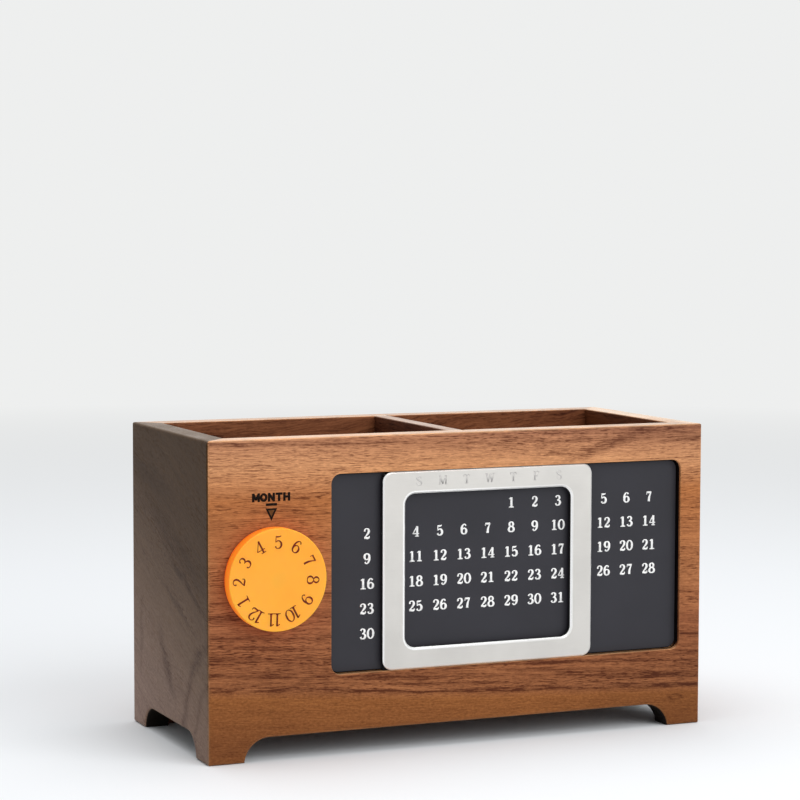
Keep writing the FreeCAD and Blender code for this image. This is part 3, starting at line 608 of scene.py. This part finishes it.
def paint_left_end():
    """The left end: painted darker and greyer as shade, paler low down with painted floor light; its grain
    climbs towards the back.
    """
    material, tree, shader = start_wood("left end walnut")
    along, up = axis_of(tree, "Y"), axis_of(tree, "Z")
    lift = work_out(tree, "MULTIPLY_ADD", along, -0.40, -16.4)
    place = lift_grain(tree, object_place(tree, GRAIN_ALONG_END, (28, -400, 100)), lift)
    growth, depth = rings_of(tree, place, (0.3, 14.0, 284, 150))
    marks = end_marks(tree, face_of(tree, along, up, 7.0))
    figure = {"Streaks": 0.36, "Lines": 0.05, "Pores": 0.10, "Mottle": 0.62, "Marks": marks}
    # Its rim tint is a faint painted sheen.
    finish_wood(tree, shader, place, growth, colour_ramp(tree, depth, END_SHADE_BANDS), ALONG_X,
                figure, rim=(0.055, 0.032, 0.014), oil=0.22)
    return material


def paint_right_end():
    # The rim tint is a painted sheen, and the inner tint a deeper painted shade inside the box.
    return paint_wood("right end walnut", GRAIN_ALONG_END, (-15, -360, -100), (0.9, 20.0, 244, 116),
                      PLAIN_BANDS, ALONG_X, 0.9, rim=(0.34, 0.36, 0.26), inner=(0.32, 0.23, 0.20))


def paint_floor_board():
    return paint_wood("floor walnut", GRAIN_ALONG_FLOOR, (40, 210, 0), (0.15, 12.0, 160, 100),
                      DARK_BANDS, ALONG_Y, gloss=0.10)


def paint_divider():
    # The rim tint is a bright painted sheen.
    return paint_wood("divider walnut", GRAIN_ALONG_END, (60, -390, 0), (0.5, 12.0, 274, 116),
                      DARK_BANDS, ALONG_X, gloss=0.10, rim=(0.72, 0.62, 0.44))


def paint_splines():
    return paint_wood("spline wood", GRAIN_ALONG_FLOOR, (0, 90, 0), (0.05, 6.0, 40, 100),
                      [(0.0, (190, 150, 110)), (0.5, (172, 132, 94)), (1.0, (196, 158, 118))], ALONG_Y,
                      0.4, 0.1, 0.15, 0.10)


# ---- metal, plastic, felt and print ----

def paint_even(name, colour, cloudy, roughness, tooth, depth, clouds=0.06, **constants):
    """A moulded, coated or printed finish: a colour that drifts to a second one, over a fine tooth."""
    material, tree, shader = new_material(name, **constants)
    texture = place_group(tree, FINE_TEXTURE, {
        "Vector": object_place(tree), "Tooth": tooth, "Cloud": clouds})
    share = spread(tree, texture["Cloud"], 0.35, 0.65)
    feed(tree, shader["Base Color"], mix_colours(tree, share, (*colour, 1), (*cloudy, 1)))
    rough = spread(tree, texture["Cloud"], 0.3, 0.7, roughness - 0.04, roughness + 0.05)
    feed(tree, shader["Roughness"], rough)
    raise_surface(tree, shader, texture["Tooth"], depth)
    return material


def paint_plate():
    return paint_even("charcoal coating", (0.0235, 0.0228, 0.0288), (0.0285, 0.0278, 0.0350),
                      0.50, 6.0, 0.006, 0.03, specular_ior_level=0.25)


def paint_tape():
    return paint_even("adhesive sheet", (0.72, 0.71, 0.66), (0.62, 0.61, 0.57), 0.7, 2.0, 0.02, 0.2)


def brush_metal(name, colour, shade, roughness, along, streak=0.10, depth=0.004):
    """Brushed metal: fine streaks one way, and faint clouds where it was handled."""
    material, tree, shader = new_material(name, metallic=1.0)
    place = object_place(tree)
    streaks = noise(tree, place, along, 3.0, 0.7)
    clouds = noise(tree, place, (0.06, 0.06, 0.06), 3.0)
    share = work_out(tree, "MULTIPLY_ADD", work_out(tree, "SUBTRACT", streaks, 0.5), 0.8, clouds)
    tone = mix_colours(tree, spread(tree, share, 0.3, 0.7), (*shade, 1), (*colour, 1))
    rough = spread(tree, streaks, 0.25, 0.75, roughness - streak / 2, roughness + streak)
    feed(tree, shader["Base Color"], tone)
    feed(tree, shader["Roughness"], rough)
    raise_surface(tree, shader, streaks, depth)
    return material, tree, shader


def from_rounded(tree, point, middle, half, corner):
    """How far outside a rounded rectangle a point lies, in millimetres."""
    beyond = []
    for place, centre, reach in zip(point, middle, half):
        past = work_out(tree, "SUBTRACT", apart(tree, place, centre), reach - corner)
        beyond.append(work_out(tree, "MAXIMUM", past, 0.0))
    joined = add_node(tree, "CombineXYZ", {0: beyond[0], 1: beyond[1]})
    return work_out(tree, "SUBTRACT", length_of(tree, joined.outputs[0]), corner)


def paint_bezel():
    """The sliding frame: brushed along its length, with smoother bevels and a band round its window painted
    white as highlights, and cut edges painted black as shade.
    """
    material, tree, shader = brush_metal(
        "brushed steel frame", (0.590, 0.571, 0.543), (0.535, 0.518, 0.492), 0.40, (0.12, 4.0, 7.0))
    facing = work_out(tree, "ABSOLUTE", facing_along(tree, "Y"))
    across, up = axis_of(tree, "X"), axis_of(tree, "Z")
    outside = from_rounded(tree, (across, up), WINDOW_MIDDLE, WINDOW_HALF, WINDOW_CORNER)
    # A painted highlight round the window, strongest towards its left.
    window_highlight = work_out(tree, "MULTIPLY", spread(tree, outside, 1.05, 0.75),
                      spread(tree, across, 30.0, -20.0, 0.30, 1.0))
    bevel = work_out(tree, "MAXIMUM", spread(tree, facing, 0.93, 0.86), window_highlight)
    # Painted shade, nearly black, on the cut edges.
    cut_edge = spread(tree, facing, 0.50, 0.35)
    brushed = shader["Base Color"].links[0].from_socket
    polish_and_highlight = mix_colours(tree, bevel, brushed, (1.0, 1.0, 0.99, 1))
    feed(tree, shader["Base Color"], mix_colours(tree, cut_edge, polish_and_highlight, (0.010, 0.010, 0.011, 1)))
    rough = work_out(tree, "MULTIPLY_ADD", bevel, -0.20, shader["Roughness"].links[0].from_socket)
    feed(tree, shader["Roughness"], work_out(tree, "MULTIPLY_ADD", cut_edge, 0.45, rough, clamp=True))
    feed(tree, shader["Metallic"], work_out(tree, "SUBTRACT", 1.0, work_out(tree, "MULTIPLY", bevel, 0.5)))
    return material


def paint_black_steel():
    return brush_metal("blackened steel", (0.030, 0.030, 0.032), (0.018, 0.018, 0.020), 0.50,
                       (0.3, 5.0, 5.0))[0]


def paint_spring_steel():
    return brush_metal("spring steel", (0.62, 0.62, 0.61), (0.50, 0.50, 0.50), 0.30, (0.3, 5.0, 5.0))[0]


def paint_brass():
    return brush_metal("turned brass", (0.80, 0.58, 0.26), (0.66, 0.46, 0.20), 0.28, (4.0, 0.4, 4.0))[0]


def paint_zinc():
    return brush_metal("zinc plating", (0.70, 0.72, 0.73), (0.58, 0.60, 0.61), 0.32, (2.5, 2.5, 2.5))[0]


def paint_felt():
    return paint_even("black felt", (0.020, 0.020, 0.022), (0.045, 0.045, 0.048), 0.95, 4.0, 0.12, 1.4,
                      sheen_weight=0.4, sheen_roughness=0.6)


def paint_dial():
    """The dial: a translucent orange; its side painted redder than its face, darker at its root, and
    glowing faintly, as painted light and shade.
    """
    material, tree, shader = new_material(
        "orange dial", ior=1.48, specular_ior_level=0.25, subsurface_weight=0.5,
        subsurface_radius=(1.0, 0.22, 0.03), subsurface_scale=0.007, emission_strength=0.30)
    place = object_place(tree)
    texture = place_group(tree, FINE_TEXTURE, {"Vector": place, "Tooth": 5.0, "Cloud": 0.05})
    depth = add_node(tree, "SeparateXYZ", {0: place}).outputs["Y"]
    face = spread(tree, depth, DIAL_FACE + 0.45, DIAL_FACE + 0.1)
    cloud = spread(tree, texture["Cloud"], 0.35, 0.65)
    front = mix_colours(tree, cloud, (0.970, 0.395, 0.035, 1), (0.995, 0.425, 0.044, 1))
    # Painted light and shade: the side redder than the face, and darker red towards its root.
    side = mix_colours(tree, cloud, (1.0, 0.30, 0.02, 1), (1.0, 0.34, 0.03, 1))
    root = spread(tree, depth, DIAL_FACE + 3.6, DIAL_FACE + 5.0)
    side = mix_colours(tree, root, side, (0.86, 0.085, 0.008, 1))
    feed(tree, shader["Base Color"], mix_colours(tree, face, side, front))
    # A painted glow, strongest on the side, stands in for light through the plastic.
    glow = mix_colours(tree, face, (1.0, 0.115, 0.003, 1), (0.22, 0.045, 0.002, 1))
    feed(tree, shader["Emission Color"], glow)
    feed(tree, shader["Roughness"], spread(tree, texture["Cloud"], 0.3, 0.7, 0.46, 0.54))
    raise_surface(tree, shader, texture["Tooth"], 0.008)
    return material


def paint_white_print():
    return paint_even("white print", (0.99, 0.99, 0.98), (0.93, 0.93, 0.92), 0.5, 8.0, 0.004, 0.3)


def paint_dial_print():
    return paint_even("dark red print", (0.130, 0.006, 0.001), (0.180, 0.012, 0.002), 0.5, 8.0, 0.004, 0.5,
                      specular_ior_level=0.2)


def paint_etching():
    return paint_even("etched grey", (0.49, 0.475, 0.46), (0.55, 0.535, 0.52), 0.55, 9.0, 0.006, 0.35,
                      metallic=0.9)


def paint_burn(name, colour, cloudy):
    return paint_even(name, colour, cloudy, 0.80, 5.0, 0.03, 0.8, specular_ior_level=0.08)


# ---- figures and marks ----

def only(piece):
    """Leaves just this piece selected and active."""
    bpy.ops.object.select_all(action="DESELECT")
    piece.select_set(True)
    bpy.context.view_layer.objects.active = piece


def write_sign(name, strokes, weight):
    """One figure or letter as flat ribbons in its own XY plane, 100 high."""
    pen = bpy.data.curves.new(name, "CURVE")
    pen.dimensions = "3D"
    pen.extrude = 1.0
    pen.resolution_u = 5
    for step, ((closed, curved), knots) in enumerate(strokes):
        stroke = pen.splines.new("BEZIER")
        stroke.bezier_points.add(len(knots) - 1)
        stroke.use_cyclic_u = closed
        if not curved:
            stroke.resolution_u = 1
        # Each stroke lies a little over the one before, so that no two faces coincide.
        for point, (across, up, half) in zip(stroke.bezier_points, knots):
            point.co = (across, up, 0.08 * step)
            point.radius = half * weight
            point.tilt = math.radians(90)
            point.handle_left_type = point.handle_right_type = "AUTO" if curved else "VECTOR"
    sign = bpy.data.objects.new(name, pen)
    bpy.context.scene.collection.objects.link(sign)
    only(sign)
    bpy.ops.object.convert(target="MESH")
    return bpy.context.view_layer.objects.active


def stand_up(across, face, up, size, turn=0.0):
    """Brings flat work to the front: X to the right, Y upwards, turned clockwise about its middle."""
    return (Matrix.Translation(Vector((across, face, up)) * MM) @ Matrix.Rotation(math.radians(90), 4, "X")
            @ Matrix.Rotation(-turn, 4, "Z") @ Matrix.Scale(size * MM, 4))


def set_line(signs, text, place, advance=78.0):
    """Copies of the signs that a line of text needs, centred on its place."""
    copies = []
    for number, letter in enumerate(text):
        sign = signs[letter]
        sides = [vertex.co.x for vertex in sign.data.vertices]
        middle = (max(sides) + min(sides)) / 2
        mesh = sign.data.copy()
        start = (number - (len(text) - 1) / 2) * advance - middle
        mesh.transform(place @ Matrix.Translation((start, -50, 0)))
        copy = bpy.data.objects.new(sign.name, mesh)
        bpy.context.scene.collection.objects.link(copy)
        copies.append(copy)
    return copies


def join_signs(name, copies, signs, material, body, thickness=PRINT_THICKNESS):
    """One piece from all the copies, given its thickness, on the body that carries it."""
    bpy.ops.object.select_all(action="DESELECT")
    for copy in copies:
        copy.select_set(True)
    bpy.context.view_layer.objects.active = copies[0]
    bpy.ops.object.join()
    piece = bpy.context.view_layer.objects.active
    piece.name = piece.data.name = name
    for sign in signs.values():
        bpy.data.objects.remove(sign)
    skin = piece.modifiers.new("thickness", "SOLIDIFY")
    skin.thickness = thickness * MM
    skin.offset = -1
    bpy.ops.object.modifier_apply(modifier=skin.name)
    piece.data.materials.append(material)
    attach(piece, body)
    return piece


def print_day_numbers():
    """Thirteen columns and six rows of days: each row is a week further on than the one above."""
    signs = {key: write_sign("figure_" + key, strokes, weight=1.25) for key, strokes in FIGURES.items()}
    copies = []
    for row in range(ROWS):
        for column in range(COLUMNS):
            across = FIRST_COLUMN + COLUMN_PITCH * column
            day = 7 * row + column - DAY_ONE_COLUMN + 1
            if 1 <= day <= 31:
                up = FIRST_ROW - ROW_PITCH * row - ROW_FALL * (across - LEVEL_PLACE)
                place = stand_up(across, PLATE_FACE - PRINT_LIFT, up, size=0.039)
                copies += set_line(signs, str(day), place, advance=76.0)
    join_signs("day_numbers", copies, signs, paint_white_print(), "box")


def etch_weekdays():
    """The weekdays' first letters along the top of the sliding frame."""
    signs = {key: write_sign("letter_" + key, strokes, weight=1.1) for key, strokes in LETTERS.items()}
    copies = []
    for number, letter in enumerate("SMTWTFS"):
        across = FIRST_WEEKDAY + WEEKDAY_PITCH * number
        place = stand_up(across, WOOD_FACE - BURN_LIFT, WEEKDAY_LEVEL, size=0.034)
        copies += set_line(signs, letter, place)
    join_signs("weekday_letters", copies, signs, paint_etching(), "slider",
               ETCH_THICKNESS)


def print_month_numbers():
    """One to twelve round the dial, tops outwards, with the fifth under the pointer."""
    signs = {key: write_sign("month_" + key, strokes, weight=0.74) for key, strokes in FIGURES.items()}
    copies = []
    for month in range(1, 13):
        turn = math.radians(MONTH_STEP * (month - SHOWN_MONTH) + NUMBER_TURN)
        sine, cosine = math.sin(turn), math.cos(turn)
        across = NUMBER_MIDDLE[0] + NUMBER_RING[0] * sine + NUMBER_LEAN[0] * cosine
        up = NUMBER_MIDDLE[1] + NUMBER_RING[1] * cosine + NUMBER_LEAN[1] * sine
        place = stand_up(across, DIAL_FACE - PRINT_LIFT, up, size=0.048, turn=turn)
        copies += set_line(signs, str(month), place, advance=49.0)
    join_signs("month_numbers", copies, signs, paint_dial_print(), "dial")


def burn_month_word(burnt):
    """The plain word over the dial, in heavy capitals."""
    signs = {key: write_sign("capital_" + key, strokes, weight=1.06)
             for key, strokes in HEAVY_CAPITALS.items()}
    place = stand_up(WORD_PLACE[0], WOOD_FACE - BURN_LIFT, WORD_PLACE[1], size=0.031)
    copies = set_line(signs, "MONTH", place, advance=94.0)
    join_signs("month_word", copies, signs, burnt, "box", BURN_THICKNESS)


def burn_arrowhead(burnt):
    """The arrowhead over the dial: a burnt outline round a lighter, less burnt middle."""
    scorch_and_shade = paint_burn("scorched wood", (0.100, 0.042, 0.015), (0.145, 0.062, 0.021))
    bpy.ops.mesh.primitive_circle_add(vertices=3, radius=1.0, fill_type="NGON")
    head = bpy.context.view_layer.objects.active
    head.name = head.data.name = "pointer_head"
    only(head)
    head.data.transform(Matrix.Rotation(math.radians(180), 4, "Z"))
    head.data.transform(Matrix.Diagonal((HEAD_SIZE[0] / math.sqrt(3), HEAD_SIZE[1] / 1.5, 1, 1)))
    head.data.materials.append(burnt)
    head.data.materials.append(scorch_and_shade)
    bpy.ops.object.mode_set(mode="EDIT")
    bpy.ops.mesh.select_all(action="SELECT")
    bpy.ops.mesh.inset(thickness=HEAD_LINE, depth=0.0)
    bpy.ops.object.mode_set(mode="OBJECT")
    for face in head.data.polygons:
        face.material_index = 1 if len(face.vertices) == 3 else 0
    finish_mark(head, HEAD_PLACE)


def burn_bar(burnt):
    """The short bar between the word and the arrowhead."""
    bpy.ops.mesh.primitive_plane_add(size=1.0)
    bar = bpy.context.view_layer.objects.active
    bar.name = bar.data.name = "pointer_bar"
    only(bar)
    bar.data.transform(Matrix.Diagonal((*BAR_SIZE, 1, 1)))
    bar.data.materials.append(burnt)
    bpy.ops.object.mode_set(mode="EDIT")
    bpy.ops.mesh.select_all(action="SELECT")
    bpy.ops.mesh.bevel(offset=0.14, segments=3, affect="VERTICES")
    bpy.ops.object.mode_set(mode="OBJECT")
    finish_mark(bar, BAR_PLACE)


def finish_mark(mark, place):
    """Gives a flat burnt mark its thickness, stands it on the front board and lets the box carry it."""
    mark.data.transform(stand_up(place[0], WOOD_FACE - BURN_LIFT, place[1], size=1.0))
    only(mark)
    skin = mark.modifiers.new("thickness", "SOLIDIFY")
    skin.thickness = BURN_THICKNESS * MM
    skin.offset = -1
    bpy.ops.object.modifier_apply(modifier=skin.name)
    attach(mark, "box")


# ---- studio ----

BACKGROUND = (0.855, 0.862, 0.858, 1)
FLOOR_RADIUS = 6.0
# Distances from the object, in metres, between which the floor turns into the surround.
FLOOR_FADE = (0.45, 1.6)


def paint_studio_floor():
    """Pale near the object, and turning into the surround's own white further off."""
    material = bpy.data.materials.new("studio floor")
    material.use_nodes = True
    tree = material.node_tree
    tree.nodes.clear()
    plain = add_node(tree, "BsdfDiffuse", {"Color": (0.875, 0.895, 0.92, 1)})
    rays = add_node(tree, "LightPath").outputs
    seen = work_out(tree, "MAXIMUM", rays["Is Camera Ray"], rays["Is Glossy Ray"])
    glow = add_node(tree, "Emission", {"Color": BACKGROUND, "Strength": seen})
    distance = length_of(tree, add_node(tree, "TexCoord").outputs["Object"])
    far = spread(tree, distance, *FLOOR_FADE)
    mixed = add_node(tree, "MixShader", {0: far, 1: plain.outputs[0], 2: glow.outputs[0]})
    output = add_node(tree, "OutputMaterial")
    tree.links.new(mixed.outputs[0], output.inputs[0])
    return material


def lay_studio_floor():
    bpy.ops.mesh.primitive_circle_add(vertices=96, radius=FLOOR_RADIUS, fill_type="NGON",
                                      location=(0, 0, 0))
    floor = bpy.context.view_layer.objects.active
    floor.name = "studio_floor"
    floor.data.materials.append(paint_studio_floor())


def make_surround():
    """A white surround that lights the object softly."""
    world = bpy.data.worlds.new("white surround")
    bpy.context.scene.world = world
    world.use_nodes = True
    tree = world.node_tree
    tree.nodes.clear()
    rays = add_node(tree, "LightPath").outputs
    seen = work_out(tree, "MAXIMUM", rays["Is Camera Ray"], work_out(
        tree, "MAXIMUM", rays["Is Glossy Ray"], rays["Is Transmission Ray"]))
    strength = spread(tree, seen, 0.0, 1.0, 0.48, 1.0)
    back = add_node(tree, "Background", {"Color": BACKGROUND, "Strength": strength})
    output = add_node(tree, "OutputWorld")
    tree.links.new(back.outputs[0], output.inputs[0])


def build_studio():
    """A pale floor in a white surround, with soft lamps from the front right and from above."""
    lay_studio_floor()
    make_surround()
    hang_lamp("key", (0.60, -1.30, 0.90), size=1.4, power=15.5)
    hang_lamp("top", (-0.10, 0.10, 1.60), size=1.6, power=16.0)


def hang_lamp(name, place, size, power):
    """A square lamp aimed at the object: its place and size in metres, its power in watts."""
    lamp = bpy.data.lights.new(name, "AREA")
    lamp.size = size
    lamp.energy = power
    holder = bpy.data.objects.new(name, lamp)
    bpy.context.scene.collection.objects.link(holder)
    holder.location = place
    aim = Vector((0, 0, 0.06)) - Vector(place)
    holder.rotation_euler = aim.to_track_quat("-Z", "Y").to_euler()


CAMERA_PLACE = (-388.4, -877.3, 197.85)
CAMERA_TURN, CAMERA_DIP, CAMERA_ROLL = -23.42, 4.35, 0.13
LENS = 113.43


def set_camera():
    lens = bpy.data.cameras.new("view")
    lens.sensor_width = 36.0
    lens.lens = LENS
    lens.clip_start, lens.clip_end = 0.05, 20.0
    camera = bpy.data.objects.new("view", lens)
    bpy.context.scene.collection.objects.link(camera)
    camera.matrix_world = (Matrix.Translation(Vector(CAMERA_PLACE) * MM)
                           @ Matrix.Rotation(math.radians(CAMERA_TURN), 4, "Z")
                           @ Matrix.Rotation(math.radians(90 - CAMERA_DIP), 4, "X")
                           @ Matrix.Rotation(math.radians(CAMERA_ROLL), 4, "Z"))
    bpy.context.scene.camera = camera
    bpy.context.scene.view_settings.view_transform = "Standard"


# ---- the whole thing ----

def finish_solids():
    """Each solid's own finish."""
    spring, felt, brass, zinc = paint_spring_steel(), paint_felt(), paint_brass(), paint_zinc()
    finishes = {
        "front_panel": paint_front(), "back_panel": paint_back(),
        "left_end_panel": paint_left_end(), "right_end_panel": paint_right_end(),
        "floor_board": paint_floor_board(), "divider": paint_divider(), "corner_splines": paint_splines(),
        "calendar_plate": paint_plate(), "adhesive_sheet": paint_tape(), "slider_bezel": paint_bezel(),
        "slider_guide_plate": paint_black_steel(), "slider_springs": spring, "dished_washer": spring,
        "glide_strips": felt, "felt_washer": felt, "month_dial": paint_dial(),
        "dial_insert": brass, "dial_bushing": brass, "flat_washer": zinc, "dial_screw": zinc}
    for node, finish in finishes.items():
        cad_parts[node].data.materials.clear()
        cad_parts[node].data.materials.append(finish)


set_camera()
build_studio()
finish_solids()
print_day_numbers()
etch_weekdays()
print_month_numbers()
burnt = paint_burn("burnt wood", (0.0060, 0.0035, 0.0025), (0.012, 0.0065, 0.0045))
burn_month_word(burnt)
burn_arrowhead(burnt)
burn_bar(burnt)
